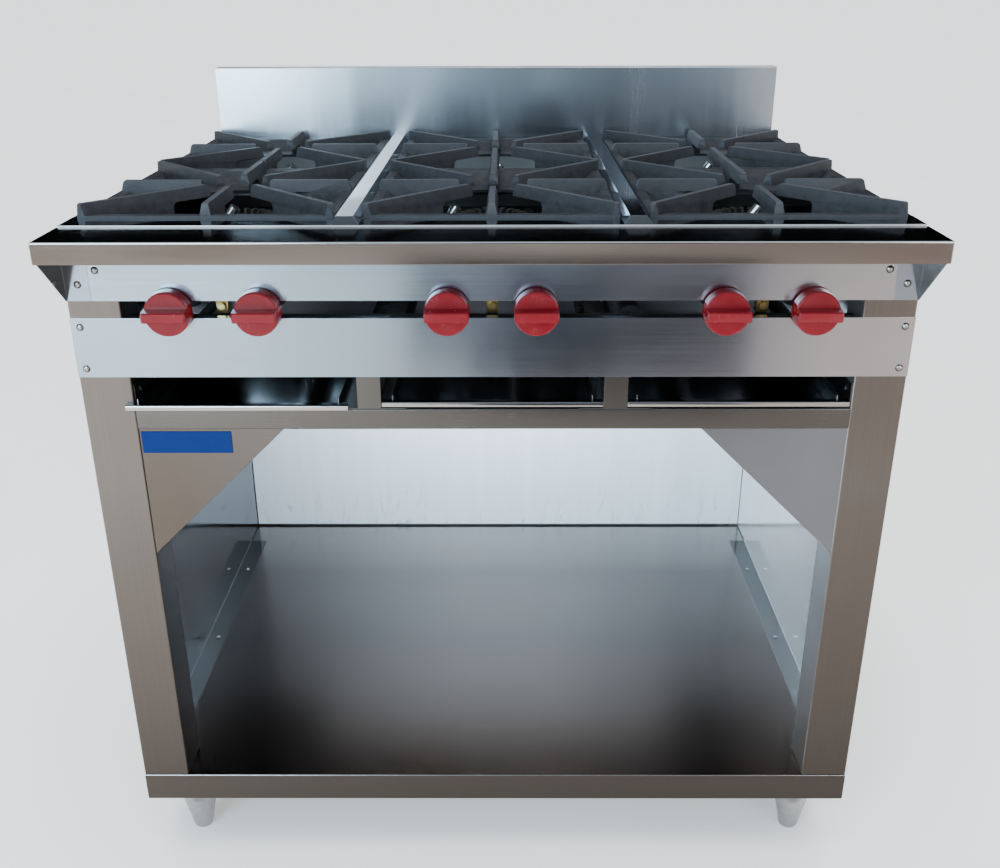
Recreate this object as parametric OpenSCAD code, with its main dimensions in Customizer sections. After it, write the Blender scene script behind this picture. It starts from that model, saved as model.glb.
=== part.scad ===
// Commercial gas range with six open burners, three drip trays and an open storage shelf.
// Millimetres, +Z up, origin on the floor under the middle of the whole range, front towards -Y.

/* [Body] */
// width over the corner posts
body_w = 1000; // [985:5:1150]
// depth from the post fronts to the rear face
body_d = 760; // [755:5:900]
// height of the cooktop deck above the floor
deck_h = 928; // [860:2:1000]
// thickness of the folded stainless sheet
sheet = 1.2; // [0.8:0.1:1.6]
// inner radius of the sheet bends
bend_r = 1; // [0.4:0.1:1.6]

/* [Base] */
// clear height under the base lip
foot_h = 100; // [80:1:150]
// height of the base lip, floor of the shelf included
base_h = 42.5; // [36:0.5:60]
// distance the base lip stands in front of the posts
lip_proud = 1.5; // [0.5:0.1:3]
// width of the folded return round the underside of the shelf
return_w = 18; // [12:1:22]
// diameter of a foot at its top
foot_top_d = 50; // [40:1:56]
// diameter of a foot at its tip
foot_tip_d = 27; // [20:1:36]
// straight height at the top of a foot
foot_straight = 42; // [20:1:50]
// foot axis in from the side
foot_inset_x = 54; // [50:1:64]
// foot axis in from the post fronts
foot_inset_y = 60; // [50:1:64]
// diameter of the levelling stud
stud_d = 12; // [8:0.5:16]
// thickness of the plates that carry the feet
plate_t = 4; // [3:0.5:6]
// height of the nut on a foot plate
nut_h = 24; // [14:1:26]

/* [Front] */
// width of a front post
post_w = 62.5; // [50:0.5:75]
// depth of a front post
post_d = 60; // [56:1:80]
// height of the mid rail
mid_rail_h = 27; // [20:1:40]
// height of the drip tray bays
tray_bay_h = 42; // [34:1:60]
// height of the lower front panel
lower_panel_h = 74; // [68:1:100]
// height of the open slot that the valve stems come through
slot_h = 21; // [14:1:26]
// height of the upper strip that shows under the rail
strip_h = 60; // [50:1:90]
// width of each rail bracket flange beside the upper strip
bracket_w = 30; // [20:1:40]
// reach of the front rail past the posts
rail_reach = 69; // [55:1:90]
// height of the rail's front face
rail_face_h = 25; // [18:1:36]
// overhang of the rail past each side
rail_over = 2; // [0:0.5:6]
// length of a corner gusset along the mid rail
gusset_w = 180; // [100:5:260]
// length of a corner gusset along the post
gusset_h = 175; // [100:5:220]
// depth of the fold along the gusset's free edge
gusset_fold = 12; // [6:1:18]

/* [Drip trays] */
// front width of a tray divider
divider_w = 29; // [22:1:36]
// width of the ledges that carry the trays
ledge_w = 30; // [28:1:34]
// gap from a tray's side to its bay
tray_gap = 12.5; // [11.5:0.5:16]
// gap from the ends of a tray lip to its bay
lip_gap = 0.5; // [0.4:0.1:2]
// height of a tray's side walls
tray_h = 12; // [9:0.5:18]
// length of a tray
tray_len = 620; // [480:10:680]
// depth of the lip that a tray is pulled by
lip_d = 10; // [7:0.5:14]
// height of the lip
lip_h = 6.5; // [5:0.5:7.5]
// sideways shift of the left tray, whose lip hangs in front of the post
left_shift = 10; // [0:0.5:10.5]
// thickness of the tray sheet
tray_t = 1; // [0.8:0.1:1.5]

/* [Knobs] */
// distance of the two knobs of a pair
knob_spacing = 104.4; // [96:0.4:114]
// distance that the outer knob pairs sit in from their burner columns
pair_inset = 14; // [4:1:20]
// diameter of a knob
knob_d = 54; // [44:1:60]
// depth of the round skirt
skirt_d = 18; // [14:1:22]
// reach of the grip bar in front of the skirt
grip_reach = 15; // [8:0.5:18]
// thickness of the grip bar at its root
grip_t = 14.5; // [11:0.5:18]
// gap from the panels to the back of a knob
knob_gap = 4; // [3:0.5:8]
// diameter of a valve stem
stem_d = 8; // [6:0.5:10]

/* [Cooktop] */
// thickness of the cooktop deck
deck_t = 2; // [1.5:0.1:3]
// distance from the post fronts to the deck's front edge
deck_set = 9; // [6:1:14]
// deck in front of the grates
deck_front_w = 40; // [30:1:48]
// deck between the rear grates and the riser
deck_back_w = 14; // [8:1:24]
// deck outside the grates at each side
side_gap = 8.5; // [5:0.5:12]
// depth that a grate rests on the deck
bearing = 8; // [5:0.5:8.5]
// depth of the folds round the deck openings
deck_fold = 22; // [14:1:26]
// height of the hat strips between the columns
hat_h = 9; // [5:0.5:14]
// slope of the hat strips' flanks
hat_slope = 7; // [3:0.5:9]
// depth of the backsplash riser
riser_d = 33; // [24:1:36]
// height of the backsplash above the deck
riser_h = 120; // [60:5:250]
// backsplash in from each side
riser_inset = 16; // [6:1:24]

/* [Grates] */
// width of the centre grates; the outer columns take the rest of the body
grate_w = 304; // [270:1:330]
// depth of the front grates; the rear row takes the rest of the deck
grate_d = 331; // [300:1:372]
// gap between the columns, which a hat strip fills
column_gap = 35.5; // [26:0.5:44]
// gap between the front and rear grates
grate_gap = 2; // [1:0.5:4]
// height of the pan level above the deck
pan_rise = 17; // [14:0.5:24]
// thickness of a fin at its top
fin_t = 7.5; // [5:0.5:9]
// added thickness of a fin at the deck
fin_draft = 7; // [1:0.5:8]
// depth of the bowl and its fins below the deck
fin_drop = 18; // [12:1:18]
// inward run of the bowl's sloping sides
bowl_run = 22; // [14:1:28]
// upright thickness of the bowl
bowl_t = 4; // [3:0.5:5]
// diameter of the open eye between the fins
eye_d = 90; // [76:1:100]
// height of the fingers round the eye
finger_h = 15; // [11:0.5:16]
// radius at which the arch under the fingers starts, over the round hole in the bowl
arch_r = 100; // [84:1:106]
// width of the grate's outer bar
bar_w = 10; // [9.5:0.5:13]
// height of the grate's outer bar
bar_h = 3; // [2:0.5:8]

/* [Burners and gas] */
// diameter of a burner head
head_d = 100; // [84:1:110]
// number of flame slots round the rim of a head
ports = 22; // [12:1:28]
// distance from the pan level down to the top of a burner head
head_drop = 46; // [42:1:52]
// diameter of a burner tube
tube_d = 28; // [22:1:30]
// outside diameter of the gas pipe
pipe_d = 26.7; // [21:0.1:27]
// reach of the gas inlet behind the body
inlet_reach = 30; // [20:1:60]

/* [Hidden] */
$fn = 48;

steel = [0.68, 0.68, 0.67];
iron = [0.16, 0.16, 0.17];
brass = [0.72, 0.56, 0.28];
red = [0.62, 0.12, 0.13];

overall_d = rail_reach + body_d + inlet_reach;
front_y = rail_reach - overall_d / 2;
half_w = body_w / 2;
shelf_z = foot_h + base_h;
rail_z = deck_h - deck_t;
strip_z = rail_z - rail_face_h - strip_h;
lower_z1 = strip_z - slot_h;
lower_z0 = lower_z1 - lower_panel_h;
mid_z1 = lower_z0 - tray_bay_h;
mid_z0 = mid_z1 - mid_rail_h;
valve_z = strip_z - slot_h / 2;
post_x = half_w - post_w;
panel_x = half_w - 2 * sheet;
back_y = body_d - 2 * sheet;
riser_y = body_d - riser_d;

bay_w = (2 * (post_x - sheet) - 2 * divider_w) / 3;
divider_x = bay_w / 2 + divider_w / 2;
tray_x = bay_w + divider_w;
tray_z = mid_z1 + sheet;
tray_w = bay_w - 2 * tray_gap;
lip_w = bay_w - 2 * lip_gap;

side_w = (body_w - grate_w) / 2 - side_gap - column_gap;
col_pitch = (grate_w + side_w) / 2 + column_gap;
strip_x = (grate_w + column_gap) / 2;
pair_pitch = col_pitch - pair_inset;
grate_y = deck_set + deck_front_w;
grate_end = riser_y - deck_back_w;
rear_d = grate_end - grate_y - grate_d - grate_gap;
row_y = [grate_y + grate_d / 2, grate_end - rear_d / 2];
mid_y = grate_y + grate_d + grate_gap / 2;
open_y0 = grate_y + bearing;
open_y1 = grate_end - bearing;
open_x = half_w - side_gap - bearing;
hat_w = column_gap - 2;
web_w = column_gap + 2 * bearing;
pan_z = deck_h + pan_rise;
fin_b = (fin_t + fin_draft) / 2;

manifold_y = 38;
manifold_z = valve_z - 30.5;
pipe_r = pipe_d / 2;
boss_z = manifold_z + pipe_r + 4;
supply_x = strip_x;
tee_y = manifold_y + pipe_r + 8;
flange_y0 = 2.5 * post_d;
flange_y1 = body_d - 70;
shutter_y = 80;
head_z = pan_z - head_drop;
rail_top_z = head_z - 27;
tube_r = tube_d / 2;
neck_r = 20;
pilot_z = boss_z + 8;
fit = 0.05;
stud_top = foot_h + sheet + plate_t + nut_h;

// turns a sketch into the frame that has its zero at the post fronts
module placed() translate([0, front_y, 0]) children();
// a straight block between two opposite corners
module block(lo, hi) translate(lo) cube(hi - lo);
// the same piece on the left and on the right
module both() {
  children();
  mirror([1, 0, 0]) children();
}
// a side view (y, z) drawn out along X
module along_x(x0, x1) translate([x0, 0, 0]) rotate([90, 0, 90]) linear_extrude(x1 - x0) children();
// a front view (x, z) drawn out along Y
module along_y(y0, y1) translate([0, y1, 0]) rotate([90, 0, 0]) linear_extrude(y1 - y0) children();
// a round bar between two points on one axis
module rod_x(x0, x1, y, z, r) translate([x0, y, z]) rotate([0, 90, 0]) cylinder(h = x1 - x0, r = r);
module rod_y(x, y0, y1, z, r) translate([x, y1, z]) rotate([90, 0, 0]) cylinder(h = y1 - y0, r = r);
module rod_z(x, y, z0, z1, r) translate([x, y, z0]) cylinder(h = z1 - z0, r = r);

function unit(v) = v / norm(v);
function left_of(v) = [-v[1], v[0]];
function short_turn(a) = a > 180 ? a - 360 : a < -180 ? a + 360 : a;
function corner(p, q, s, r) =
  let(u = unit(p - q), v = unit(s - q), half = acos(u * v) / 2, c = q + unit(u + v) * r / sin(half),
      g = q + u * r / tan(half) - c, h = q + v * r / tan(half) - c,
      a = atan2(g[1], g[0]), turn = short_turn(atan2(h[1], h[0]) - a))
  [for (i = [0:3]) c + r * [cos(a + turn * i / 3), sin(a + turn * i / 3)]];
function bent(pts, r) = concat([pts[0]],
  [for (i = [1:len(pts) - 2]) each corner(pts[i - 1], pts[i], pts[i + 1], r)], [pts[len(pts) - 1]]);
function side_line(path, d) = [for (i = [0:len(path) - 1])
  let(m = len(path) - 1, a = left_of(unit(path[max(i, 1)] - path[max(i, 1) - 1])),
      b = left_of(unit(path[min(i + 1, m)] - path[min(i + 1, m) - 1])))
  path[i] + d * (a + b) / (1 + a * b)];
function flipped(v) = [for (i = [len(v) - 1:-1:0]) v[i]];
// section of a sheet of thickness t folded along a centre line
module folded(pts, t) {
  path = bent(pts, bend_r + t / 2);
  polygon(concat(side_line(path, t / 2), flipped(side_line(path, -t / 2))));
}

// open-bottomed floor pan with the base lip in front
module bottom_shelf() color(steel) placed() difference() {
  block([-half_w, -lip_proud, foot_h], [half_w, body_d, shelf_z]);
  block([sheet - half_w, sheet - lip_proud, foot_h + sheet],
    [half_w - sheet, body_d - sheet, shelf_z - sheet]);
  block([return_w - half_w, return_w - lip_proud, foot_h - 1],
    [half_w - return_w, body_d - return_w, foot_h + 2 * sheet]);
}

// side sheet with a riveted flange on the shelf and a flange under the deck
module side_panel() color(steel) placed() {
  s = sheet / 2;
  along_y(flange_y0, flange_y1)
    folded([[panel_x - 30, shelf_z + s], [panel_x + s, shelf_z + s], [panel_x + s, shelf_z + 60]], sheet);
  block([panel_x, post_d - 20, shelf_z + (sheet + bend_r + 1)], [panel_x + sheet, flange_y0, rail_z]);
  block([panel_x, flange_y1, shelf_z + (sheet + bend_r + 1)],
    [panel_x + sheet, body_d - sheet - bend_r - 1, rail_z]);
  block([panel_x, flange_y0, shelf_z + 60], [panel_x + sheet, flange_y1, rail_z - 40]);
  along_y(flange_y0, flange_y1)
    folded([[panel_x + s, rail_z - 40], [panel_x + s, rail_z - s], [open_x + deck_t + 3, rail_z - s]], sheet);
}
module side_panel_left() mirror([1, 0, 0]) side_panel();
module side_panel_right() side_panel();

// rear sheet with the hole for the gas pipe
module back_panel() color(steel) placed() difference() {
  block([1 - panel_x, back_y, shelf_z + 4], [panel_x - 1, back_y + sheet, rail_z]);
  rod_y(supply_x, back_y - 1, back_y + sheet + 1, manifold_z, pipe_r + 2);
}

// front corner channels, open to the rear, that hold the ends of the gas main
module front_posts() color(steel) placed() difference() {
  both() translate([0, 0, shelf_z]) linear_extrude(rail_z - sheet - shelf_z)
    folded([[post_x + sheet / 2, post_d], [post_x + sheet / 2, sheet / 2],
      [half_w - sheet / 2, sheet / 2], [half_w - sheet / 2, post_d]], sheet);
  both() rod_x(post_x - 1, post_x + sheet + 1, manifold_y, manifold_z, pipe_r + 0.2);
}

// rear corner angles outside the sheets
module rear_posts() color(steel) placed() both()
  translate([0, 0, shelf_z]) linear_extrude(rail_z - shelf_z)
    folded([[half_w - sheet / 2, body_d - 45], [half_w - sheet / 2, body_d - sheet / 2],
      [half_w - 45, body_d - sheet / 2]], sheet);

// triangular corner plates with a fold along the free edge
module gussets() color(steel) placed() both() {
  a = [post_x - gusset_w, mid_z0];
  b = [post_x, mid_z0 - gusset_h];
  n = unit(left_of(b - a));
  along_y(2, 2 + sheet) polygon([[post_x, mid_z0], a, b]);
  along_y(2, 2 + gusset_fold) intersection() {
    polygon([a, b, b + sheet * n, a + sheet * n]);
    polygon([[post_x, mid_z0], a - [40, 0], b - [0, 40]]);
  }
}

// folded rail under the drip tray bays
module mid_rail() color(steel) placed() along_x(-post_x, post_x)
  folded([[20, mid_z0 + sheet / 2], [sheet / 2, mid_z0 + sheet / 2],
    [sheet / 2, mid_z1 - sheet / 2], [40, mid_z1 - sheet / 2]], sheet);

// inverted-T runners between the trays with a plain front post
module tray_dividers() color(steel) placed() both() {
  w = divider_w / 2;
  h = tray_h + 8;
  along_y(0, back_y) translate([divider_x, 0]) {
    translate([-w - ledge_w, mid_z1]) square([divider_w + 2 * ledge_w, sheet]);
    translate([-w, mid_z1]) square([sheet, h]);
    translate([w - sheet, mid_z1]) square([sheet, h]);
    translate([-w, mid_z1 + h - sheet]) square([divider_w, sheet]);
  }
  block([divider_x - w, 0, mid_z1], [divider_x + w, sheet, lower_z0]);
}

// angles on the posts that carry the outer sides of the trays
module tray_runners() color(steel) placed() both() along_y(4, back_y)
  folded([[post_x - ledge_w, mid_z1 + sheet / 2], [post_x - sheet / 2, mid_z1 + sheet / 2],
    [post_x - sheet / 2, mid_z1 + 30]], sheet);

// shallow drip tray with a pull lip; bay is -1, 0 or 1
module drip_tray(bay) color(steel) placed() {
  cx = bay * tray_x - (bay < 0 ? left_shift : 0);
  y0 = bay < 0 ? -0.4 : lip_d + 1;
  w = tray_w / 2;
  translate([cx, y0, tray_z]) {
    difference() {
      block([-w, 0, 0], [w, tray_len, tray_h]);
      block([tray_t - w, tray_t, tray_t], [w - tray_t, tray_len - tray_t, tray_h + 1]);
      block([-w - 1, -1, lip_h + tray_t], [w + 1, tray_t, tray_h + 1]);
    }
    along_x(-lip_w / 2, lip_w / 2)
      folded([[0, lip_h + tray_t / 2], [tray_t / 2 - lip_d, lip_h + tray_t / 2],
        [tray_t / 2 - lip_d, tray_t]], tray_t);
  }
}
module drip_tray_left() drip_tray(-1);
module drip_tray_centre() drip_tray(0);
module drip_tray_right() drip_tray(1);

// lower front panel over the trays, folded back between the posts
module lower_front_panel() color(steel) placed() {
  block([-half_w, -sheet, lower_z0], [half_w, 0, lower_z1]);
  block([0.5 - post_x, 0, lower_z0], [post_x - 0.5, 12, lower_z0 + sheet]);
  block([0.5 - post_x, 0, lower_z1 - sheet], [post_x - 0.5, 10, lower_z1]);
}

// upper front strip between the rail brackets
module upper_front_strip() color(steel) placed() {
  x = half_w - bracket_w;
  block([-x, -sheet, strip_z], [x, 0, rail_z - sheet]);
  block([0.5 - post_x, 0, strip_z], [post_x - 0.5, 10, strip_z + sheet]);
}

// bullnose shelf rail along the front
module front_rail() color(steel) placed() {
  along_x(-half_w - rail_over, half_w + rail_over)
    folded([[sheet / 2 - rail_reach, rail_z - rail_face_h], [sheet / 2 - rail_reach, rail_z - sheet / 2],
      [deck_set, rail_z - sheet / 2]], sheet);
  along_x(2 - half_w, half_w - 2) translate([sheet - rail_reach, rail_z - rail_face_h]) square([14, sheet]);
}

// end brackets of the rail, each with a face flange
module rail_brackets() color(steel) placed() both() {
  z0 = rail_z - rail_face_h;
  y1 = sheet - rail_reach;
  along_x(half_w - sheet, half_w)
    polygon([[-sheet, strip_z], [-sheet, rail_z - sheet], [y1 + bend_r, rail_z - sheet],
      [y1, rail_z - sheet - bend_r], [y1, z0], [y1 + 4, z0 - 2], [-8, strip_z + 5], [-3, strip_z]]);
  block([half_w - bracket_w, -sheet, strip_z], [half_w, 0, rail_z - sheet]);
}

// front of the cooktop deck with its raised edge over the rail
module deck_front() color(steel) placed() {
  x = post_x - 1;
  along_x(-x, x) folded([[deck_set, deck_h - deck_t / 2], [open_y0 - deck_t / 2, deck_h - deck_t / 2],
    [open_y0 - deck_t / 2, deck_h - deck_fold]], deck_t);
  both() block([x, deck_set, rail_z], [half_w, open_y0, deck_h]);
}

// rear of the deck, under the riser
module deck_rear() color(steel) placed() {
  x = open_x + deck_t;
  y = open_y1 + deck_t / 2;
  z = deck_h - deck_t / 2;
  along_x(-x, x) folded([[y, deck_h - deck_fold], [y, z], [body_d, z]], deck_t);
  both() block([x, open_y1, rail_z], [half_w, body_d, deck_h]);
}

// side ledges of the deck
module deck_sides() color(steel) placed() both() along_y(open_y0, open_y1)
  folded([[half_w, deck_h - deck_t / 2], [open_x + deck_t / 2, deck_h - deck_t / 2],
    [open_x + deck_t / 2, deck_h - deck_fold]], deck_t);

// webs between the columns, each with a raised hat strip
module divider_strips() color(steel) placed() both() {
  w = web_w / 2 - deck_t / 2;
  along_y(open_y0, open_y1) translate([strip_x, 0])
    folded([[-w, deck_h - deck_fold], [-w, deck_h - deck_t / 2], [w, deck_h - deck_t / 2],
      [w, deck_h - deck_fold]], deck_t);
  intersection() {
    along_y(deck_set + 2, riser_y) translate([strip_x, deck_h])
      polygon([[-hat_w / 2, 0], [hat_w / 2, 0], [hat_w / 2 - hat_slope, hat_h],
        [hat_slope - hat_w / 2, hat_h]]);
    along_x(strip_x - hat_w, strip_x + hat_w) translate([0, deck_h])
      polygon([[deck_set + 2, 0], [deck_set + 8, hat_h], [riser_y, hat_h], [riser_y, 0]]);
  }
}

// channels under the meeting edges of the front and rear grates
module grate_crossbars() color(steel) placed() {
  w = grate_gap / 2 + bearing - deck_t / 2;
  p = [[mid_y - w, deck_h - deck_fold], [mid_y - w, deck_h - deck_t / 2], [mid_y + w, deck_h - deck_t / 2],
    [mid_y + w, deck_h - deck_fold]];
  along_x(web_w / 2 - strip_x, strip_x - web_w / 2) folded(p, deck_t);
  both() along_x(strip_x + web_w / 2, open_x) folded(p, deck_t);
}

// folded riser at the back of the cooktop
module backsplash() color(steel) placed() {
  x = half_w - riser_inset;
  z = deck_h + riser_h;
  y = riser_y + sheet / 2;
  along_x(-x, x)
    folded([[y, deck_h], [y, z - sheet / 2], [body_d - 2, z - sheet / 2], [body_d - 2, z - 16]], sheet);
  both() block([x - sheet, riser_y + sheet, deck_h], [x, riser_y + 18, z - bend_r - sheet]);
}

// cast grate: outer bar, dished bowl with a round hole and eight drafted fins that arch over the burner
module grate(col, row) color(iron) placed() translate([col * col_pitch, row_y[row], 0]) {
  w = (col == 0 ? grate_w : side_w) / 2;
  d = (row == 0 ? grate_d : rear_d) / 2;
  k = min(w, d) / (grate_w / 2);
  zb = deck_h - fin_drop;
  up = bar_h + 1 - bowl_t;
  out = up * bowl_run / fin_drop;
  difference() {
    union() {
      block([-w, -d, deck_h], [w, d, deck_h + bar_h]);
      dish(w - bar_w, d - bar_w, bowl_run, zb, deck_h);
    }
    dish(w - bar_w + out, d - bar_w + out, bowl_run + out, zb + bowl_t, deck_h + bowl_t + up);
    rod_z(0, 0, zb - 1, zb + bowl_t + 1, k * arch_r - 1.5, $fn = 96);
  }
  diag = atan2(d, w);
  intersection() {
    union() {
      block([-w, -d, deck_h], [w, d, pan_z + 1]);
      dish(w - bar_w, d - bar_w, bowl_run, zb, deck_h);
    }
    union() {
      for (a = [0, 180]) rotate([0, 0, a]) fin(w, k);
      for (a = [90, 270]) rotate([0, 0, a]) fin(d, k);
      for (a = [diag, 180 - diag, 180 + diag, -diag]) rotate([0, 0, a]) fin(norm([w, d]), k);
    }
  }
}
// four-sided tapering solid between two heights; a and b are half its upper sizes
module dish(a, b, run, z0, z1) intersection() {
  along_y(-b, b) polygon([[-a, z1], [run - a, z0], [a - run, z0], [a, z1]]);
  along_x(-a, a) polygon([[-b, z1], [run - b, z0], [b - run, z0], [b, z1]]);
}
// one fin along +X with its outer end at len; k sizes the eye and the arch to the grate
module fin(len, k) {
  z1 = pan_z;
  zd = deck_h - fin_drop + bowl_t / 2;
  e = k * eye_d / 2;
  q = k * arch_r;
  zf = z1 - finger_h;
  t = fin_t / 2;
  b = fin_b;
  side = [[e, zf], [e, z1 - 3], [e + 1, z1 - 1], [e + 3, z1], [len - 6, z1], [len - 4.2, z1 - 1],
    [len - 3.2, z1 - 3], [len - 0.8, z1 - 12], [len, deck_h], [len, zd], [q, zd], [q, zf - 6],
    [q - 0.8, zf - 3], [q - 3, zf - 0.8], [q - 6, zf]];
  intersection() {
    along_y(-b - 2, b + 2) polygon(side);
    along_x(e - 1, len + 1) polygon([[-b - 0.5, zd - 1], [b + 0.5, zd - 1], [b, deck_h], [t, z1],
      [t, z1 + 1], [-t, z1 + 1], [-t, z1], [-b, deck_h]]);
  }
}
module grate_front_left() grate(-1, 0);
module grate_front_centre() grate(0, 0);
module grate_front_right() grate(1, 0);
module grate_rear_left() grate(-1, 1);
module grate_rear_centre() grate(0, 1);
module grate_rear_right() grate(1, 1);

function front_side(col) = col > 0 ? 1 : -1;
function valve_x(col, row) = col * pair_pitch + front_side(col) * (row == 0 ? 1 : -1) * knob_spacing / 2;

// cast burner with its mixing tube, neck and ported head
module burner(col, row) color(iron) placed() {
  hx = col * col_pitch;
  vx = valve_x(col, row);
  y = row_y[row];
  r = head_d / 2;
  difference() {
    union() {
      translate([vx, shutter_y, valve_z]) rotate([-90, 0, 0]) cylinder(h = 25, r1 = 20, r2 = tube_r);
      rod_y(vx, shutter_y + 25, y, valve_z, tube_r);
      rod_z(vx, y, valve_z - tube_r - 3, valve_z + tube_r + 3, tube_r + 3);
      rod_x(min(vx, hx), max(vx, hx), y, valve_z, tube_r);
      rod_z(hx, y, valve_z - tube_r - 4, rail_top_z + 4, neck_r);
      rod_z(hx, y, rail_top_z, rail_top_z + 6, 46);
      translate([hx, y, rail_top_z + 6]) cylinder(h = 6, r1 = r - 10, r2 = r);
      rod_z(hx, y, rail_top_z + 12, head_z - 3, r);
      translate([hx, y, head_z - 3]) cylinder(h = 3, r1 = r, r2 = r - 3);
    }
    rod_y(vx, shutter_y - 1, y - 22, valve_z, tube_r - 4);
    translate([hx, y, head_z - 16]) cylinder(h = 17, r1 = r - 22, r2 = r - 15);
    translate([hx, y, 0]) for (i = [0:ports - 1]) rotate([0, 0, i * 360 / ports])
      along_x(r - 20, r + 2) translate([0, head_z])
        polygon([[-3.4, 1], [-2.2, -8.5], [2.2, -8.5], [3.4, 1]]);
  }
}
module burner_front_left() burner(-1, 0);
module burner_front_centre() burner(0, 0);
module burner_front_right() burner(1, 0);
module burner_rear_left() burner(-1, 1);
module burner_rear_centre() burner(0, 1);
module burner_rear_right() burner(1, 1);

// angles across the body that the burners stand on
module burner_rails() color(steel) placed() for (y = row_y, s = [-1, 1])
  along_x(-panel_x, panel_x) translate([y + s * 40, rail_top_z])
    polygon([[9 * s, 0], [-9 * s, 0], [-9 * s, -2], [7 * s, -2], [7 * s, -18], [9 * s, -18]]);

// air shutters in front of the mixing tubes
module air_shutters() color(steel) placed() for (col = [-1:1], row = [0, 1])
  translate([valve_x(col, row), 0, valve_z]) difference() {
    rod_y(0, shutter_y - 1.5, shutter_y, 0, 20);
    rod_y(0, shutter_y - 3, shutter_y + 1, 0, 8);
    for (a = [30, 150, 270]) rotate([0, a, 0]) rod_y(14, shutter_y - 3, shutter_y + 1, 0, 3.5);
  }

// gas main along the front with a boss for each valve and a tee for the supply
module manifold() color(iron) placed() {
  rod_x(-post_x - 12, post_x + 12, manifold_y, manifold_z, pipe_r);
  both() rod_x(post_x + 8, post_x + 22, manifold_y, manifold_z, pipe_r + 3);
  rod_y(supply_x, manifold_y, tee_y, manifold_z, pipe_r - 2.5);
  for (col = [-1:1]) {
    for (row = [0, 1]) rod_z(valve_x(col, row), manifold_y, manifold_z, boss_z, 9);
    rod_z(col * pair_pitch, manifold_y, manifold_z, boss_z, 6);
  }
}

// coupling and pipe from the gas main to the inlet at the rear
module gas_supply_pipe() color(iron) placed() difference() {
  union() {
    rod_y(supply_x, tee_y, tee_y + 30, manifold_z, pipe_r + 4);
    rod_y(supply_x, tee_y, body_d + inlet_reach, manifold_z, pipe_r);
    rod_y(supply_x, body_d - sheet, body_d - sheet + 6, manifold_z, pipe_r + 7);
  }
  rod_y(supply_x, body_d - 30, body_d + inlet_reach + 1, manifold_z, pipe_r - 3);
}

// brass valves on the gas main, each with a bored bonnet and a jet
module gas_valves() color(brass) placed() for (col = [-1:1], row = [0, 1])
  translate([valve_x(col, row), 0, 0]) gas_valve();
module gas_valve() difference() {
  union() {
    rod_z(0, manifold_y, boss_z, valve_z, 8);
    rod_y(0, 24, 52, valve_z, 12);
    rod_y(0, 13, 24, valve_z, 9.5);
    rod_y(0, 52, 64, valve_z, 7);
    translate([0, 77, valve_z]) rotate([90, 0, 0]) cylinder(h = 13, r = 6.5, $fn = 6);
  }
  rod_y(0, 12, 22, valve_z, stem_d / 2 + fit);
}

// brass pilot valves between the knobs of each pair
module pilot_valves() color(brass) placed() for (col = [-1:1])
  translate([col * pair_pitch, 0, 0]) pilot_valve();
module pilot_valve() difference() {
  union() {
    block([-7, 30, boss_z], [7, 46, boss_z + 16]);
    rod_y(0, 25, 30, pilot_z + 1, 4.5);
  }
  block([-6, 24, pilot_z + 0.4], [6, 26.2, pilot_z + 1.6]);
}

function rear_sign(col) = col > 0 ? -1 : 1;
// pilot tubes with hooded tips beside the burner heads
module pilot_tubes() color(steel) placed() for (col = [-1:1]) {
  q = rear_sign(col);
  pc = col * pair_pitch;
  rx = (col * col_pitch + q * neck_r + valve_x(col, 1) - q * tube_r) / 2;
  fx = pc - q * 3.5;
  sx = pc + q * 3.5;
  tx = col == 0 ? 44 - arch_r : -col_pitch;
  ya = row_y[0] - 60;
  yb = row_y[1] - 60;
  zt = rail_top_z + 12;
  tip = deck_h - 22;
  pilot_run(col > 0 ? [[fx, 46, pilot_z], [fx, ya, pilot_z], [fx, ya, tip]] :
    [[fx, 46, pilot_z], [fx, ya, pilot_z], [fx, ya, zt], [tx, ya, zt], [tx, ya, tip]]);
  pilot_run([[sx, 46, pilot_z], [sx, 112, pilot_z], [rx, 112, pilot_z], [rx, yb, pilot_z],
    [pc, yb, pilot_z], [pc, yb, tip]]);
}
// round tube through points that follow one axis at a time, ending in a slanted hood
module pilot_run(p) {
  n = len(p) - 1;
  for (i = [0:n - 1]) {
    d = p[i + 1] - p[i];
    turn = abs(d[0]) > 0.01 ? [0, sign(d[0]) * 90, 0] : abs(d[1]) > 0.01 ? [-90, 0, 0] : [0, 0, 0];
    translate(p[i]) rotate(turn) cylinder(h = norm(d), r = 2.5, $fn = 24);
    if (i > 0) translate(p[i]) sphere(r = 2.9, $fn = 24);
  }
  translate(p[n]) rotate([0, 35, 0]) difference() {
    translate([0, 0, -3]) cylinder(h = 21, r = 6.5, $fn = 24);
    translate([0, 0, 6]) cylinder(h = 13, r = 5, $fn = 24);
  }
}

// domed rivet heads on the front sheets, the shelf flanges and the tray runners
module rivets() color(steel) placed() both() {
  for (p = [[half_w - bracket_w / 2 - 1.5, strip_z + 20], [half_w - bracket_w - 9, strip_z + 37],
      [half_w - 11.5, lower_z1 - 11], [half_w - 11.5, lower_z0 + 11]])
    translate([p[0], -sheet, p[1]]) rotate([90, 0, 0]) rivet();
  for (s = [0.361, 0.787])
    translate([panel_x - 17.5, flange_y0 + s * (flange_y1 - flange_y0), shelf_z + sheet]) rivet();
  translate([post_x - sheet, 20, mid_z1 + 19]) rotate([0, -90, 0]) rivet();
}
// one rivet head on the plane z = 0
module rivet() difference() {
  translate([0, 0, -4.2]) sphere(r = 6.2, $fn = 32);
  translate([-8, -8, -16]) cube([16, 16, 16]);
  translate([0, 0, 1.1]) cylinder(h = 2, r = 1.4, $fn = 24);
}

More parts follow.
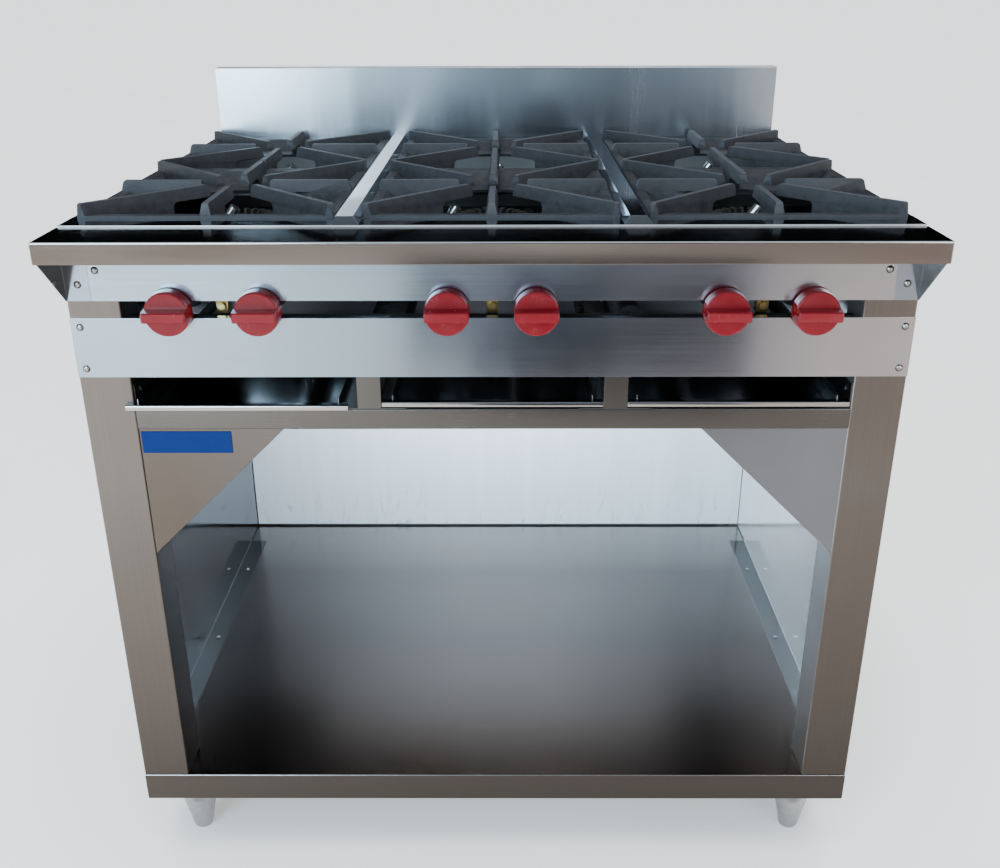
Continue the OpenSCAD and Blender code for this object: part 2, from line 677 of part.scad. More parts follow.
// plates on the underside return with a nut for each foot
module foot_plates() color(steel) placed() both() for (s = [0, 1]) {
  fy = s == 0 ? foot_inset_y : body_d - foot_inset_y;
  y0 = s == 0 ? sheet - lip_proud : body_d - sheet - 104;
  z0 = foot_h + sheet;
  difference() {
    union() {
      block([half_w - sheet - 104, y0, z0], [half_w - sheet, y0 + 104, z0 + plate_t]);
      rod_z(half_w - foot_inset_x, fy, z0, z0 + plate_t + nut_h, stud_d / 2 + 6);
    }
    rod_z(half_w - foot_inset_x, fy, z0 - 1, stud_top + 1, stud_d / 2 + fit);
  }
}

// tapered levelling foot with its stud
module foot(sx, rear) color(steel) placed()
  translate([sx * (half_w - foot_inset_x), rear ? body_d - foot_inset_y : foot_inset_y, 0]) {
    top = foot_h + sheet;
    r1 = foot_top_d / 2;
    r0 = foot_tip_d / 2;
    rotate_extrude() polygon([[0, 0], [r0 - 3, 0], [r0 - 1, 0.8], [r0, 2.6], [r0 + 0.5, 5],
      [r1 - 0.8, top - foot_straight - 4], [r1, top - foot_straight + 2], [r1, top - 1],
      [r1 - 1, top], [0, top]]);
    rod_z(0, 0, top, stud_top, stud_d / 2);
  }
module foot_front_left() foot(-1, false);
module foot_front_right() foot(1, false);
module foot_rear_left() foot(-1, true);
module foot_rear_right() foot(1, true);

function knob_x(i) = (floor(i / 2) - 1) * pair_pitch + (i % 2 == 0 ? -1 : 1) * knob_spacing / 2;
knob_y = -sheet - knob_gap;
stem_tip = knob_y - skirt_d + 4.5;

// round knob with a full-width grip bar, in its off position
module knob(i) color(red) placed() translate([knob_x(i), knob_y, valve_z]) rotate([90, 0, 0]) {
  r = knob_d / 2;
  t = grip_t / 2;
  g = skirt_d + grip_reach;
  difference() {
    union() {
      rotate_extrude($fn = 96) polygon([[0, 0], [r - 0.6, 0], [r, 0.8], [r - 0.4, skirt_d - 2.6],
        [r - 0.9, skirt_d - 1], [r - 2.2, skirt_d], [0, skirt_d]]);
      intersection() {
        rotate_extrude($fn = 96) polygon([[0, 1], [r - 0.3, 1], [r - 1, g - 2.5], [r - 3, g], [0, g]]);
        along_x(-r - 1, r + 1) polygon([[-t, 1], [t, 1], [t, skirt_d], [t - 1.2, g - 1.5], [t - 2.6, g],
          [2.6 - t, g], [1.2 - t, g - 1.5], [-t, skirt_d]]);
      }
    }
    difference() {
      translate([0, 0, -1]) cylinder(h = 11, r = r - 4);
      translate([0, 0, -2]) cylinder(h = 13, r = stem_d / 2 + 5);
    }
    translate([0, 0, -1]) cylinder(h = skirt_d - 3, r = stem_d / 2 + fit);
  }
}
module knob_1() knob(0);
module knob_2() knob(1);
module knob_3() knob(2);
module knob_4() knob(3);
module knob_5() knob(4);
module knob_6() knob(5);

// valve stem from the bonnet into the knob, with a flat at its tip
module valve_stem(i) color(brass) placed() difference() {
  rod_y(knob_x(i), stem_tip, 22, valve_z, stem_d / 2);
  block([knob_x(i) - 8, stem_tip - 1, valve_z + stem_d / 2 - 1.2],
    [knob_x(i) + 8, stem_tip + 12, valve_z + 8]);
}
module valve_stem_1() valve_stem(0);
module valve_stem_2() valve_stem(1);
module valve_stem_3() valve_stem(2);
module valve_stem_4() valve_stem(3);
module valve_stem_5() valve_stem(4);
module valve_stem_6() valve_stem(5);

bottom_shelf();
side_panel_left();
side_panel_right();
back_panel();
front_posts();
rear_posts();
gussets();
mid_rail();
tray_dividers();
tray_runners();
lower_front_panel();
upper_front_strip();
front_rail();
rail_brackets();
deck_front();
deck_rear();
deck_sides();
divider_strips();
grate_crossbars();
backsplash();
manifold();
gas_supply_pipe();
gas_valves();
pilot_valves();
pilot_tubes();
burner_rails();
air_shutters();
rivets();
foot_plates();
knob_1();
knob_2();
knob_3();
knob_4();
knob_5();
knob_6();
valve_stem_1();
valve_stem_2();
valve_stem_3();
valve_stem_4();
valve_stem_5();
valve_stem_6();
burner_front_left();
burner_front_centre();
burner_front_right();
burner_rear_left();
burner_rear_centre();
burner_rear_right();
grate_front_left();
grate_front_centre();
grate_front_right();
grate_rear_left();
grate_rear_centre();
grate_rear_right();
drip_tray_left();
drip_tray_centre();
drip_tray_right();
foot_front_left();
foot_front_right();
foot_rear_left();
foot_rear_right();
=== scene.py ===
"""Looks of a six-burner commercial gas range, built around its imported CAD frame."""
import math

import bpy
from mathutils import Matrix, Vector


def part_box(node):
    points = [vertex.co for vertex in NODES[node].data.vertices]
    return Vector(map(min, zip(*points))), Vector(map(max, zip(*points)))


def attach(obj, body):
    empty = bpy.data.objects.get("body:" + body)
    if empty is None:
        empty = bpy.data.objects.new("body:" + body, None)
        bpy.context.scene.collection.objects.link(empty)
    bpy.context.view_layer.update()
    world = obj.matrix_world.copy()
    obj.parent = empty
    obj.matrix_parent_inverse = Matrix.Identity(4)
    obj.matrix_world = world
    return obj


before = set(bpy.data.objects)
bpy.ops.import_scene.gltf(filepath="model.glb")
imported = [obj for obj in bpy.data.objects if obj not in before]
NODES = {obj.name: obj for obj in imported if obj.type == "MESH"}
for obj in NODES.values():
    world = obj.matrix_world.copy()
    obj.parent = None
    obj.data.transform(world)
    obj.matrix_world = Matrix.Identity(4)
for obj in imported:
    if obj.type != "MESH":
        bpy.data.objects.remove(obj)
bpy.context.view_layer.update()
SCENE = bpy.context.scene

# The cabinet's depth and the width of its rear posts' legs, in metres like all sizes and places here.
DEPTH = 0.76
REAR_LEG = 0.045

# Rest places that the looks are laid out from.
POST_LOW, POST_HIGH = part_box("front_posts")
GUSSET_LOW, GUSSET_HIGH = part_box("gussets")
BACK_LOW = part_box("back_panel")[0]
HALF_WIDTH = POST_HIGH.x
FRONT_Y = POST_LOW.y
REAR_Y = FRONT_Y + DEPTH
SHELF_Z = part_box("bottom_shelf")[1].z
FIREBOX_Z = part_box("mid_rail")[1].z
DECK_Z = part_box("deck_front")[1].z

# Heights over which painted shade sets in on the side sheets, in the back sheet's corners and across it.
SIDE_PAINTED_SHADE = (FIREBOX_Z - 0.12, FIREBOX_Z - 0.06)
CORNER_PAINTED_SHADE = (FIREBOX_Z - 0.17, FIREBOX_Z - 0.08)
BACK_PAINTED_SHADE = (FIREBOX_Z, FIREBOX_Z + 0.03)
# Heights over which it thins out on the back sheet and ends on the grates.
PAINTED_SHADE_TOP = (DECK_Z - 0.075, DECK_Z - 0.055)
GRATE_PAINTED_SHADE = (DECK_Z - 0.030, DECK_Z - 0.019)
# Distances from the middle over which the painted shade in the back sheet's corners sets in.
CORNER_X = (HALF_WIDTH - 0.14, HALF_WIDTH - 0.08)
# Height of the scuffs above the shelf, and the extents over which the trays' dust, the posts' painted shade
# and the gussets' painted reflection change tone.
SCUFF_HEIGHT = 0.11
TRAY_DUST_Y = (-0.12, 0.06)
POST_PAINTED_FADE_Z = (0.15, 0.90)
GUSSET_PAINTED_REFLECTION_X = (-0.4, 0.4)


def tint(colour, factor):
    """The colour times a factor, no brighter than white."""
    return tuple(min(1.0, share * factor) for share in colour)


class Tree:
    """A material with a Principled shader and short ways to add texture nodes."""

    def __init__(self, name, metallic=0.0, roughness=0.5, specular=0.5, anisotropic=0.0):
        self.material = bpy.data.materials.new(name)
        self.material.use_nodes = True
        self.node_tree = self.material.node_tree
        self.shader = self.node_tree.nodes["Principled BSDF"]
        self.feed(self.shader, ("Metallic", metallic), ("Roughness", roughness),
                  ("Specular IOR Level", specular), ("Anisotropic", anisotropic))

    def add(self, kind, **settings):
        """A new node with its settings."""
        node = self.node_tree.nodes.new(kind)
        for key, value in settings.items():
            setattr(node, key, value)
        return node

    def link(self, source, target):
        self.node_tree.links.new(source, target)

    def feed(self, node, *pairs):
        """Give a node's inputs their sockets or constant values."""
        for slot, value in pairs:
            if isinstance(value, bpy.types.NodeSocket):
                self.link(value, node.inputs[slot])
            else:
                node.inputs[slot].default_value = (*value, 1) if isinstance(value, tuple) else value

    def out(self, socket, value):
        """Feed one of the shader's own inputs."""
        self.feed(self.shader, (socket, value))

    def tone(self):
        """The colour that feeds the shader so far."""
        return self.shader.inputs["Base Color"].links[0].from_socket

    def place(self, scale=(1, 1, 1)):
        """Place in the part's own frame, stretched by scale."""
        mapping = self.add("ShaderNodeMapping")
        mapping.inputs["Scale"].default_value = scale
        self.link(self.add("ShaderNodeTexCoord").outputs["Object"], mapping.inputs["Vector"])
        return mapping.outputs["Vector"]

    def share(self, vector, axis):
        """A vector's share along one axis."""
        split = self.add("ShaderNodeSeparateXYZ")
        self.link(vector, split.inputs[0])
        return split.outputs[axis]

    def along(self, axis):
        """Place along one axis of the part's own frame, in metres."""
        return self.share(self.place(), axis)

    def facing(self, axis, low, high):
        """0 to 1 as the surface normal's share along one axis goes from low to high."""
        normal = self.add("ShaderNodeNewGeometry").outputs["Normal"]
        return self.span(self.share(normal, axis), 0, 1, (low, high))

    def worn(self, most, over):
        """0 to most as edges get sharper, where handling wears them."""
        pointiness = self.add("ShaderNodeNewGeometry").outputs["Pointiness"]
        return self.span(pointiness, 0.0, most, over)

    def noise(self, vector, scale=1.0, detail=3.0, rough=0.5, distortion=0.0):
        node = self.add("ShaderNodeTexNoise")
        self.feed(node, ("Vector", vector), ("Scale", scale), ("Detail", detail), ("Roughness", rough),
                  ("Distortion", distortion))
        return node.outputs["Fac"]

    def ramp(self, value, *stops):
        """A colour ramp with (position, colour) stops in rising order."""
        node = self.add("ShaderNodeValToRGB")
        elements = node.color_ramp.elements
        while len(elements) < len(stops):
            elements.new(0.5)
        for element, (position, colour) in zip(elements, stops):
            element.position = position
            element.color = (*colour, 1)
        self.link(value, node.inputs["Fac"])
        return node.outputs["Color"]

    def shades(self, value, colour, dark, light, over=(0.3, 0.7)):
        """The colour times dark to the colour times light, as the value crosses a range."""
        return self.ramp(value, (over[0], tint(colour, dark)), (over[1], tint(colour, light)))

    def span(self, value, first, last, over=(0.3, 0.7)):
        """From first to last, as the value crosses a range."""
        node = self.add("ShaderNodeMapRange")
        self.feed(node, ("Value", value), ("From Min", over[0]), ("From Max", over[1]),
                  ("To Min", first), ("To Max", last))
        return node.outputs["Result"]

    def math(self, operation, first, second):
        node = self.add("ShaderNodeMath", operation=operation)
        self.feed(node, (0, first), (1, second))
        return node.outputs[0]

    def mix(self, amount, first, second, blend="MIX"):
        """The first colour, turning into the second as the amount goes from 0 to 1."""
        node = self.add("ShaderNodeMix", data_type="RGBA", blend_type=blend)
        self.feed(node, (0, amount), (6, first), (7, second))
        return node.outputs[2]

    def bump(self, height, strength, distance):
        node = self.add("ShaderNodeBump")
        self.feed(node, ("Height", height), ("Strength", strength), ("Distance", distance))
        self.out("Normal", node.outputs["Normal"])

    def radial(self, axis):
        """Lay the brushed highlight round one axis."""
        node = self.add("ShaderNodeTangent", direction_type="RADIAL", axis=axis)
        self.out("Tangent", node.outputs["Tangent"])


# Stretch of the brushed lines' noise: coarse along the grain, fine across it.
LONG = 4.0
CROSS = 900.0
GRAIN = {"X": (LONG, CROSS, CROSS), "Z": (CROSS, CROSS, LONG)}


def steel(name, colour, rough, grain, aniso=0.0, streak=0.10, painted_fade=None):
    """Brushed sheet: fine lines along one axis, handling marks and, if asked, a painted fade of light and
    shade along an axis.
    """
    tree = Tree(name, metallic=1.0, roughness=rough, anisotropic=aniso)
    lines = tree.noise(tree.place(GRAIN[grain]), detail=2.0, rough=0.7)
    marks = tree.noise(tree.place(), 5.0, detail=4.0, rough=0.55, distortion=0.5)
    tone = tree.mix(0.5, tree.shades(lines, colour, 1 - streak, 1 + streak),
                    tree.shades(marks, colour, 0.94, 1.06))
    # The painted fade multiplies the tone by painted light and shade along an axis.
    if painted_fade:
        axis, over, *stops = painted_fade
        shade = tree.ramp(tree.span(tree.along(axis), 0, 1, over), *stops)
        tone = tree.mix(1.0, tone, shade, "MULTIPLY")
    tree.out("Base Color", tone)
    brushed = tree.span(lines, rough - 0.012, rough + 0.012)
    tree.out("Roughness", tree.math("ADD", brushed, tree.span(marks, -0.025, 0.03)))
    tree.bump(lines, 0.004, 0.0004)
    if aniso:
        tree.radial(grain)
    return tree


def polished(name, colour, rough, metallic=1.0):
    """Bright sheet with a faint haze, wipe marks and fine scratches."""
    tree = Tree(name, metallic=metallic, roughness=rough)
    wipe = tree.noise(tree.place((3.0, 8.0, 8.0)), detail=5.0, rough=0.6, distortion=1.0)
    fine = tree.noise(tree.place((5.0, 600.0, 600.0)), detail=2.0, rough=0.7)
    tree.out("Base Color", tree.mix(0.5, tree.shades(wipe, colour, 0.95, 1.04),
                                    tree.shades(fine, colour, 0.95, 1.05)))
    hazy = tree.span(wipe, rough * 0.75, rough * 1.35)
    tree.out("Roughness", tree.math("ADD", hazy, tree.span(fine, -0.01, 0.015)))
    tree.bump(fine, 0.006, 0.0003)
    return tree


def back_sheet():
    """Rear sheet: pale and scuffed at its foot in the store, painted shade in its upper corners and across
    the firebox, plain steel outside.
    """
    tree = Tree("back_sheet", metallic=0.3, roughness=0.36)
    height = tree.along("Z")
    streak = tree.noise(tree.place((26.0, 1.0, 0.7)), detail=3.0, rough=0.6)
    scuff = tree.noise(tree.place((38.0, 1.0, 9.0)), detail=6.0, rough=0.7, distortion=1.6)
    low = tree.span(height, 1.0, 0.0, (SHELF_Z, SHELF_Z + SCUFF_HEIGHT))
    marks = tree.math("MULTIPLY", low, tree.span(scuff, 0.0, 1.0, (0.55, 0.70)))
    body = tree.mix(marks, tree.shades(streak, (0.86, 0.93, 0.99), 0.94, 1.03), (0.36, 0.42, 0.48))
    # Painted shade: near black in the store's upper corners and across the firebox, thinning out just below
    # the deck.
    aside = tree.span(tree.math("ABSOLUTE", tree.along("X"), 0.0), 0, 1, CORNER_X)
    corner = tree.math("MULTIPLY", tree.span(height, 0, 1, CORNER_PAINTED_SHADE), aside)
    painted_shade = tree.math("MAXIMUM", corner, tree.span(height, 0, 1, BACK_PAINTED_SHADE))
    painted_shade = tree.math("MULTIPLY", painted_shade, tree.span(height, 1.0, 0.70, PAINTED_SHADE_TOP))
    body = tree.mix(painted_shade, body, (0.012, 0.012, 0.013))
    outside = tree.facing("Y", 0.3, 0.7)
    tree.out("Base Color", tree.mix(outside, body, (0.42, 0.41, 0.40)))
    tree.out("Metallic", tree.span(outside, 0.3, 1.0, (0, 1)))
    rubbed = tree.math("MULTIPLY", marks, 0.15)
    tree.out("Roughness", tree.math("ADD", tree.span(streak, 0.30, 0.40), rubbed))
    tree.bump(scuff, 0.02, 0.0006)
    return tree


def side_sheet(name, colour, rough, metallic, outward):
    """Side sheet: polished in the store, painted shade on the flange's top and high on the wall, satin
    outside; outward is -1 or 1.
    """
    tree = polished(name, colour, rough, metallic)
    # Painted shade: the flange's top turns dark and the wall darkens towards the firebox.
    flange = tree.facing("Z", 0.5, 0.8)
    outside = tree.facing("X", 0.4 * outward, 0.8 * outward)
    wall = tree.mix(tree.span(tree.along("Z"), 0, 1, SIDE_PAINTED_SHADE), tree.tone(), (0.030, 0.032, 0.036))
    inside = tree.mix(flange, wall, (0.092, 0.088, 0.088))
    tree.out("Base Color", tree.mix(outside, inside, (0.40, 0.39, 0.38)))
    tree.out("Metallic", tree.math("MAXIMUM", tree.math("MAXIMUM", outside, flange), metallic))
    return tree


def post_sheet():
    """Posts: warm brushed fronts, painted darker low down, with painted shade making the left inner return
    darker and painted light making the right one paler.
    """
    # Painted shade low down along Z, with a warmer tone at the top.
    tree = steel("post_steel", (0.36, 0.332, 0.310), 0.30, "Z", aniso=0.6,
                 painted_fade=("Z", POST_PAINTED_FADE_Z, (0.0, (0.56, 0.55, 0.54)), (0.6, (1, 1, 1)),
                       (1.0, (0.86, 0.78, 0.73))))
    # Painted shade on the left post's inner return, painted light on the right post's.
    middle = (-0.1, 0.1)
    across = tree.along("X")
    left = tree.math("MULTIPLY", tree.facing("X", 0.5, 0.8), tree.span(across, 1, 0, middle))
    right = tree.math("MULTIPLY", tree.facing("X", -0.5, -0.8), tree.span(across, 0, 1, middle))
    tone = tree.mix(left, tree.tone(), (0.11, 0.105, 0.105))
    tree.out("Base Color", tree.mix(right, tone, (0.84, 0.84, 0.84)))
    return tree


def gusset_sheet():
    """Corner gussets with a painted reflection: the left one warm and dark, the right one cool and pale."""
    # Painted reflection: a tone fade along X across both gussets.
    return steel("gusset_steel", (0.60, 0.60, 0.60), 0.24, "X", streak=0.04,
                 painted_fade=("X", GUSSET_PAINTED_REFLECTION_X, (0.0, (0.43, 0.37, 0.32)), (1.0, (0.80, 0.88, 1.0))))


def panel_sheet():
    """Front sheets: brushed along X, with a painted reflection that makes them bluer to the left and duller
    right of the middle.
    """
    # Painted reflection: bands of tone along X across the whole width.
    return steel("panel_steel", (0.98, 0.98, 0.98), 0.17, "X", aniso=0.80, streak=0.05,
                 painted_fade=("X", (-HALF_WIDTH, HALF_WIDTH), (0.0, (0.74, 0.87, 1.0)), (0.34, (0.66, 0.85, 1.0)),
                       (0.50, (0.57, 0.65, 0.79)), (0.66, (0.52, 0.56, 0.66)),
                       (0.80, (0.68, 0.70, 0.80)), (0.90, (0.94, 0.96, 1.0))))


def bracket_sheet():
    """Rail brackets: brushed front tinted blue as a painted reflection, with painted shade making the side
    wings warmer and darker.
    """
    # The front's blue tint is painted reflection; the wings' darker, warmer tone is painted shade.
    tree = steel("bracket_steel", (0.65, 0.76, 0.90), 0.17, "X", aniso=0.80, streak=0.05)
    wing = tree.math("MAXIMUM", tree.facing("X", 0.4, 0.8), tree.facing("X", -0.4, -0.8))
    tree.out("Base Color", tree.mix(wing, tree.tone(), (0.34, 0.29, 0.25)))
    return tree


def splash_sheet():
    """Riser: bright sheet with upright bands of haze and a paler top edge."""
    colour = (0.76, 0.82, 0.88)
    tree = Tree("splash_steel", metallic=1.0, roughness=0.21, anisotropic=0.7)
    band = tree.noise(tree.place((7.0, 1.0, 0.4)), detail=4.0, rough=0.65)
    fine = tree.noise(tree.place(GRAIN["Z"]), detail=2.0, rough=0.7)
    tree.out("Base Color", tree.mix(0.4, tree.shades(band, colour, 0.80, 1.12, (0.35, 0.65)),
                                    tree.shades(fine, colour, 0.92, 1.06)))
    tree.out("Roughness", tree.math("ADD", tree.span(band, 0.15, 0.27), tree.span(fine, -0.02, 0.03)))
    tree.out("Metallic", tree.span(tree.facing("Z", 0.5, 0.8), 1.0, 0.42, (0, 1)))
    tree.bump(fine, 0.008, 0.0003)
    tree.radial("X")
    return tree


def shelf_sheet():
    """Shelf pan: satin floor with painted shade darkening it towards the front, and a painted highlight on
    the fold over a warmer upright lip.
    """
    tree = steel("shelf_steel", (0.50, 0.50, 0.50), 0.22, "X", streak=0.06)
    # Painted shade: the pan darkens towards the front.
    depth = tree.span(tree.along("Y"), 0, 1, (FRONT_Y, REAR_Y))
    painted_shade_ramp = tree.ramp(depth, (0.0, (0.090, 0.056, 0.040)), (0.45, (0.138, 0.114, 0.108)),
                     (0.75, (0.28, 0.24, 0.23)), (1.0, (0.70, 0.63, 0.61)))
    pan = tree.mix(1.0, tree.tone(), painted_shade_ramp, "MULTIPLY")
    # Painted highlight along the fold.
    pan = tree.mix(tree.facing("Z", 0.97, 0.85), pan, (0.85, 0.82, 0.79))
    tree.out("Base Color", tree.mix(tree.facing("Z", 0.45, 0.15), pan, (0.20, 0.186, 0.172)))
    return tree


def rail_sheet():
    """Front rail: a polished face with a warm painted reflection across it, a painted highlight on the
    folded edge and a painted dark reflection on the top.
    """
    tree = polished("rail_steel", (0.60, 0.60, 0.60), 0.13)
    # Painted reflection: the face's tone changes across X.
    across = tree.span(tree.along("X"), 0, 1, (-HALF_WIDTH, HALF_WIDTH))
    painted_reflection_tone = tree.ramp(across, (0.0, (0.50, 0.42, 0.36)), (0.42, (0.60, 0.55, 0.51)),
                       (0.56, (0.92, 0.87, 0.82)), (1.0, (0.78, 0.68, 0.63)))
    face = tree.mix(1.0, tree.tone(), painted_reflection_tone, "MULTIPLY")
    # Painted highlight on the folded edge, then a painted dark reflection on the top.
    face = tree.mix(tree.facing("Z", 0.15, 0.35), face, (0.96, 0.93, 0.91))
    tree.out("Base Color", tree.mix(tree.facing("Z", 0.9, 0.99), face, (0.07, 0.068, 0.067)))
    return tree


def tray_sheet():
    """Drip tray: dark burnt pan, dusty at the back, with a cleaner front lip."""
    tree = polished("tray_steel", (0.05, 0.054, 0.06), 0.12)
    far = tree.span(tree.along("Y"), 0, 1, TRAY_DUST_Y)
    pan = tree.mix(far, tree.tone(), (0.42, 0.46, 0.52))
    tree.out("Base Color", tree.mix(tree.facing("Y", -0.6, -0.9), pan, (0.95, 0.93, 0.91)))
    tree.out("Metallic", tree.span(far, 1.0, 0.35, (0, 1)))
    return tree


def deck_sheet():
    """Front deck: mirror bright on top, with a painted highlight on the cut edge over the rail."""
    tree = polished("deck_steel", (0.70, 0.73, 0.77), 0.07)
    # Painted highlight: the front-facing edge made pale and less metallic.
    edge = tree.facing("Y", -0.6, -0.9)
    tree.out("Base Color", tree.mix(edge, tree.tone(), (0.80, 0.78, 0.77)))
    tree.out("Metallic", tree.span(edge, 1.0, 0.25, (0, 1)))
    return tree


def strip_sheet():
    """Hat strips: bright on top, with a painted sheen on the left one's top and painted shade on the sloped
    front ends.
    """
    tree = polished("strip_steel", (0.80, 0.87, 0.94), 0.07)
    # Painted shade on the sloped front ends.
    tree.out("Base Color", tree.mix(tree.facing("Y", -0.4, -0.8), tree.tone(), (0.16, 0.17, 0.18)))
    # Painted sheen: the left strip's top made less metallic so it shows pale.
    left = tree.span(tree.along("X"), 1.0, 0.0, (-0.05, 0.05))
    haze = tree.math("MULTIPLY", tree.facing("Z", 0.85, 0.97), left)
    tree.out("Metallic", tree.span(haze, 1.0, 0.36, (0, 1)))
    return tree


def iron(name, dark, light, rough=0.62, painted_shade=None, painted_slope_shade=None):
    """Sand-cast iron: grainy, mottled, worn at sharp edges; if asked, painted light and shade by slope and
    painted shade low down.
    """
    tree = Tree(name, metallic=0.0, roughness=rough, specular=0.5)
    sand = tree.noise(tree.place(), 620.0, detail=3.0, rough=0.65)
    lump = tree.noise(tree.place(), 90.0, detail=5.0, rough=0.65)
    patch = tree.noise(tree.place(), 14.0, detail=5.0, rough=0.6)
    body = tree.mix(0.5, tree.ramp(patch, (0.3, dark), (0.72, light)),
                    tree.ramp(lump, (0.32, tint(dark, 0.7)), (0.68, tint(light, 1.25))))
    body = tree.mix(tree.worn(0.55, (0.50, 0.57)), body, tint(light, 2.4))
    if painted_shade:
        # Painted light and shade by slope, then painted shade low down.
        body = tree.mix(1.0, body, tree.ramp(tree.facing("Z", 0, 1), *painted_slope_shade), "MULTIPLY")
        body = tree.mix(tree.span(tree.along("Z"), 1.0, 0.0, painted_shade), body, tint(dark, 0.25))
    tree.out("Base Color", body)
    mottled = tree.span(patch, rough - 0.1, rough + 0.06)
    tree.out("Roughness", tree.math("ADD", mottled, tree.span(sand, -0.08, 0.08)))
    tree.bump(tree.math("ADD", sand, tree.math("MULTIPLY", lump, 2.4)), 0.5, 0.0007)
    return tree


def grate_iron():
    """Grates: painted light and shade by slope, with the fins' drafted sides pale and upright and flatter
    faces darker, and painted shade low down.
    """
    # Painted light and shade by the faces' slope.
    painted_slope_shade = [(slope, (shade,) * 3) for slope, shade in ((0.01, 0.52), (0.02, 1), (0.06, 1), (0.18, 0.58))]
    return iron("grate_iron", (0.020, 0.021, 0.024), (0.056, 0.060, 0.071), painted_shade=GRATE_PAINTED_SHADE, painted_slope_shade=painted_slope_shade)


def moulded(name, colour, edge_colour, rough, specular=0.5):
    """Satin moulding with faint mottling and paler edges."""
    tree = Tree(name, roughness=rough, specular=specular)
    fine = tree.noise(tree.place(), 900.0, detail=2.0)
    patch = tree.noise(tree.place(), 45.0, detail=4.0, rough=0.6)
    body = tree.mix(0.4, tree.shades(patch, colour, 0.86, 1.12), tree.shades(fine, colour, 0.92, 1.08))
    tree.out("Base Color", tree.mix(tree.worn(0.3, (0.51, 0.60)), body, edge_colour))
    mottled = tree.span(patch, rough - 0.05, rough + 0.09)
    tree.out("Roughness", tree.math("ADD", mottled, tree.span(fine, -0.03, 0.03)))
    tree.bump(fine, 0.08, 0.0002)
    return tree


def metal(name, colour, rough, spots, metallic=1.0):
    """Turned or cast metal with tarnish spots."""
    tree = Tree(name, metallic=metallic, roughness=rough)
    fine = tree.noise(tree.place(), 600.0, detail=2.0)
    patch = tree.noise(tree.place(), 60.0, detail=5.0, rough=0.65)
    tree.out("Base Color", tree.mix(0.6, tree.ramp(patch, (0.32, spots), (0.62, colour)),
                                    tree.shades(fine, colour, 0.85, 1.1)))
    mottled = tree.span(patch, rough + 0.12, rough - 0.06)
    tree.out("Roughness", tree.math("ADD", mottled, tree.span(fine, -0.04, 0.05)))
    tree.bump(fine, 0.12, 0.0003)
    return tree


def rivet_metal():
    """Bright domed heads with painted shade round the rim."""
    tree = metal("rivet_metal", (0.80, 0.79, 0.77), 0.24, (0.60, 0.59, 0.57))
    crown = tree.facing("X", 0.80, 0.95)
    for axis, sign in (("X", -1), ("Y", 1), ("Y", -1), ("Z", 1)):
        crown = tree.math("MAXIMUM", crown, tree.facing(axis, 0.80 * sign, 0.95 * sign))
    # Painted shade: the slanted rim turns near black, the crown keeps the metal's colour.
    tree.out("Base Color", tree.mix(crown, (0.06, 0.058, 0.055), tree.tone()))
    return tree


TREES = {
    "post": post_sheet(),
    "rail": rail_sheet(),
    "strip": strip_sheet(),
    "fold": steel("fold_steel", (0.26, 0.245, 0.23), 0.26, "X", streak=0.05),
    "gusset": gusset_sheet(),
    "bracket": bracket_sheet(),
    "panel": panel_sheet(),
    "shelf": shelf_sheet(),
    "back": back_sheet(),
    # The two side sheets are lit and shaded copies: the left one painted dark as shade, the right one
    # painted bright as light.
    "side_left": side_sheet("side_left_painted_shade_steel", (0.135, 0.138, 0.152), 0.09, 1.0, outward=-1),
    "side_right": side_sheet("side_right_painted_light_steel", (0.96, 0.96, 0.96), 0.10, 0.70, outward=1),
    "bright": polished("bright_steel", (0.70, 0.73, 0.77), 0.07),
    "deck": deck_sheet(),
    "splash": splash_sheet(),
    "tray": tray_sheet(),
    # Inner parts in steel painted dark as shade.
    "hidden": steel("inner_painted_shade_steel", (0.15, 0.15, 0.15), 0.36, "X"),
    "grate": grate_iron(),
    "burner": iron("burner_iron", (0.004, 0.004, 0.004), (0.012, 0.0115, 0.011), rough=0.7),
    "knob": moulded("knob_red", (0.205, 0.006, 0.012), (0.46, 0.12, 0.13), rough=0.20),
    "brass": metal("valve_brass", (0.62, 0.44, 0.18), 0.28, (0.34, 0.21, 0.08)),
    "pipe": metal("pipe_black", (0.035, 0.034, 0.034), 0.45, (0.05, 0.042, 0.036), metallic=0.0),
    "tube": metal("pilot_tube", (0.72, 0.72, 0.71), 0.24, (0.52, 0.51, 0.49)),
    "rivet": rivet_metal(),
    # Near-black sealant, painted shade in the seam.
    "sealant": moulded("sealant_painted_shade", (0.030, 0.030, 0.032), (0.05, 0.05, 0.05), rough=0.5),
    "badge": moulded("badge_blue", (0.001, 0.012, 0.085), (0.02, 0.06, 0.25), rough=0.30, specular=0.05),
    "foot": metal("foot_metal", (0.40, 0.395, 0.39), 0.34, (0.27, 0.265, 0.26)),
}

# Look of each node by its name, or by the first word of its name where several are alike.
LOOK = {
    "bottom_shelf": "shelf", "side_panel_left": "side_left", "side_panel_right": "side_right",
    "back_panel": "back", "front_posts": "post", "rear_posts": "post", "gussets": "gusset",
    "mid_rail": "fold", "tray_dividers": "fold", "tray_runners": "hidden", "lower_front_panel": "panel",
    "upper_front_strip": "panel", "front_rail": "rail", "rail_brackets": "bracket", "deck_front": "deck",
    "deck_rear": "bright", "deck_sides": "bright", "divider_strips": "strip", "grate_crossbars": "bright",
    "backsplash": "splash", "manifold": "pipe", "gas_supply_pipe": "pipe", "gas_valves": "brass",
    "pilot_valves": "brass", "pilot_tubes": "tube", "burner_rails": "hidden", "air_shutters": "hidden",
    "rivets": "rivet", "foot_plates": "hidden",
}
FIRST_WORD = {"knob": "knob", "valve": "brass", "burner": "burner", "grate": "grate", "drip": "tray",
              "foot": "foot"}

